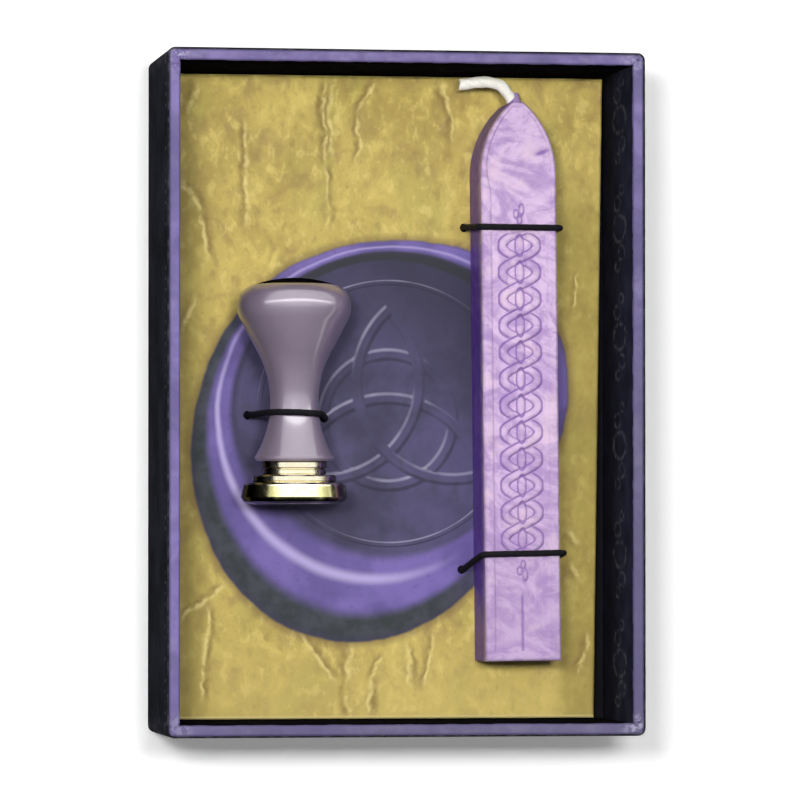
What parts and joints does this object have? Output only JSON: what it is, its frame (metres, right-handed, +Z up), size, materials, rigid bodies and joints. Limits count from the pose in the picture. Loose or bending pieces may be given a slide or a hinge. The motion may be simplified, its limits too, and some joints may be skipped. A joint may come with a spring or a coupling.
{
  "type": "wax seal set box",
  "caption": "Open rigid tray with a raised printed platform on which thin elastics hold a turned brass-headed stamp and a wicked stick of sealing wax.",
  "frame": {"origin": "centre of the tray's underside", "axes": "+Z up out of the open top, +Y along the tray towards the wick's end, +X across it towards the wax stick's side"},
  "size_m": [0.076, 0.108, 0.028],
  "materials": {
    "greyboard": "raw grey pasteboard",
    "charcoal_paper": "charcoal black covering paper, satin",
    "lilac_paper": "muted lilac paper, lightly scuffed",
    "night_paper": "midnight blue printed paper",
    "card": "folded card",
    "parchment_print": "printed mustard parchment, satin",
    "black_elastic": "round covered elastic, matt black",
    "mauve_lacquer": "turned wood in mauve gloss lacquer",
    "black_plastic": "black gloss",
    "brass": "polished",
    "lilac_wax": "pearlescent lilac sealing wax, marbled",
    "waxed_cotton": "waxed cotton, off white"
  },
  "bodies": {
    "tray": {"base_board": "greyboard", "left_side_board": "greyboard", "right_side_board": "greyboard", "upper_end_board": "greyboard", "lower_end_board": "greyboard", "cover_paper": "charcoal_paper", "rim_edging": "lilac_paper", "wall_lining": "night_paper", "floor_lining": "night_paper", "base_sheet": "charcoal_paper"},
    "platform": {"platform_card": "card", "printed_face": "parchment_print", "stamp_elastic": "black_elastic", "wax_elastic_upper": "black_elastic", "wax_elastic_lower": "black_elastic"},
    "stamp": {"stamp_handle": "mauve_lacquer", "handle_cap": "black_plastic", "threaded_bush": "brass"},
    "seal": {"seal_head": "brass"},
    "wax": {"wax_stick": "lilac_wax", "wick": "waxed_cotton"}
  },
  "joints": [
    {"name": "platform_lift", "type": "slide", "parent": "tray", "child": "platform", "axis": [0, 0, 1], "range_m": [0, 0.03]},
    {"name": "stamp_lift", "type": "slide", "parent": "platform", "child": "stamp", "axis": [0, 0, 1], "range_m": [0, 0.03], "deforming": ["stamp_elastic"]},
    {"name": "seal_unscrew", "type": "hinge", "parent": "stamp", "child": "seal", "pos_m": [-0.0163, -0.0174, 0.01517], "axis": [0, -1, 0], "range_deg": [0, 3330]},
    {"name": "wax_lift", "type": "slide", "parent": "platform", "child": "wax", "axis": [0, 0, 1], "range_m": [0, 0.03], "deforming": ["wax_elastic_upper", "wax_elastic_lower"]}
  ]
}
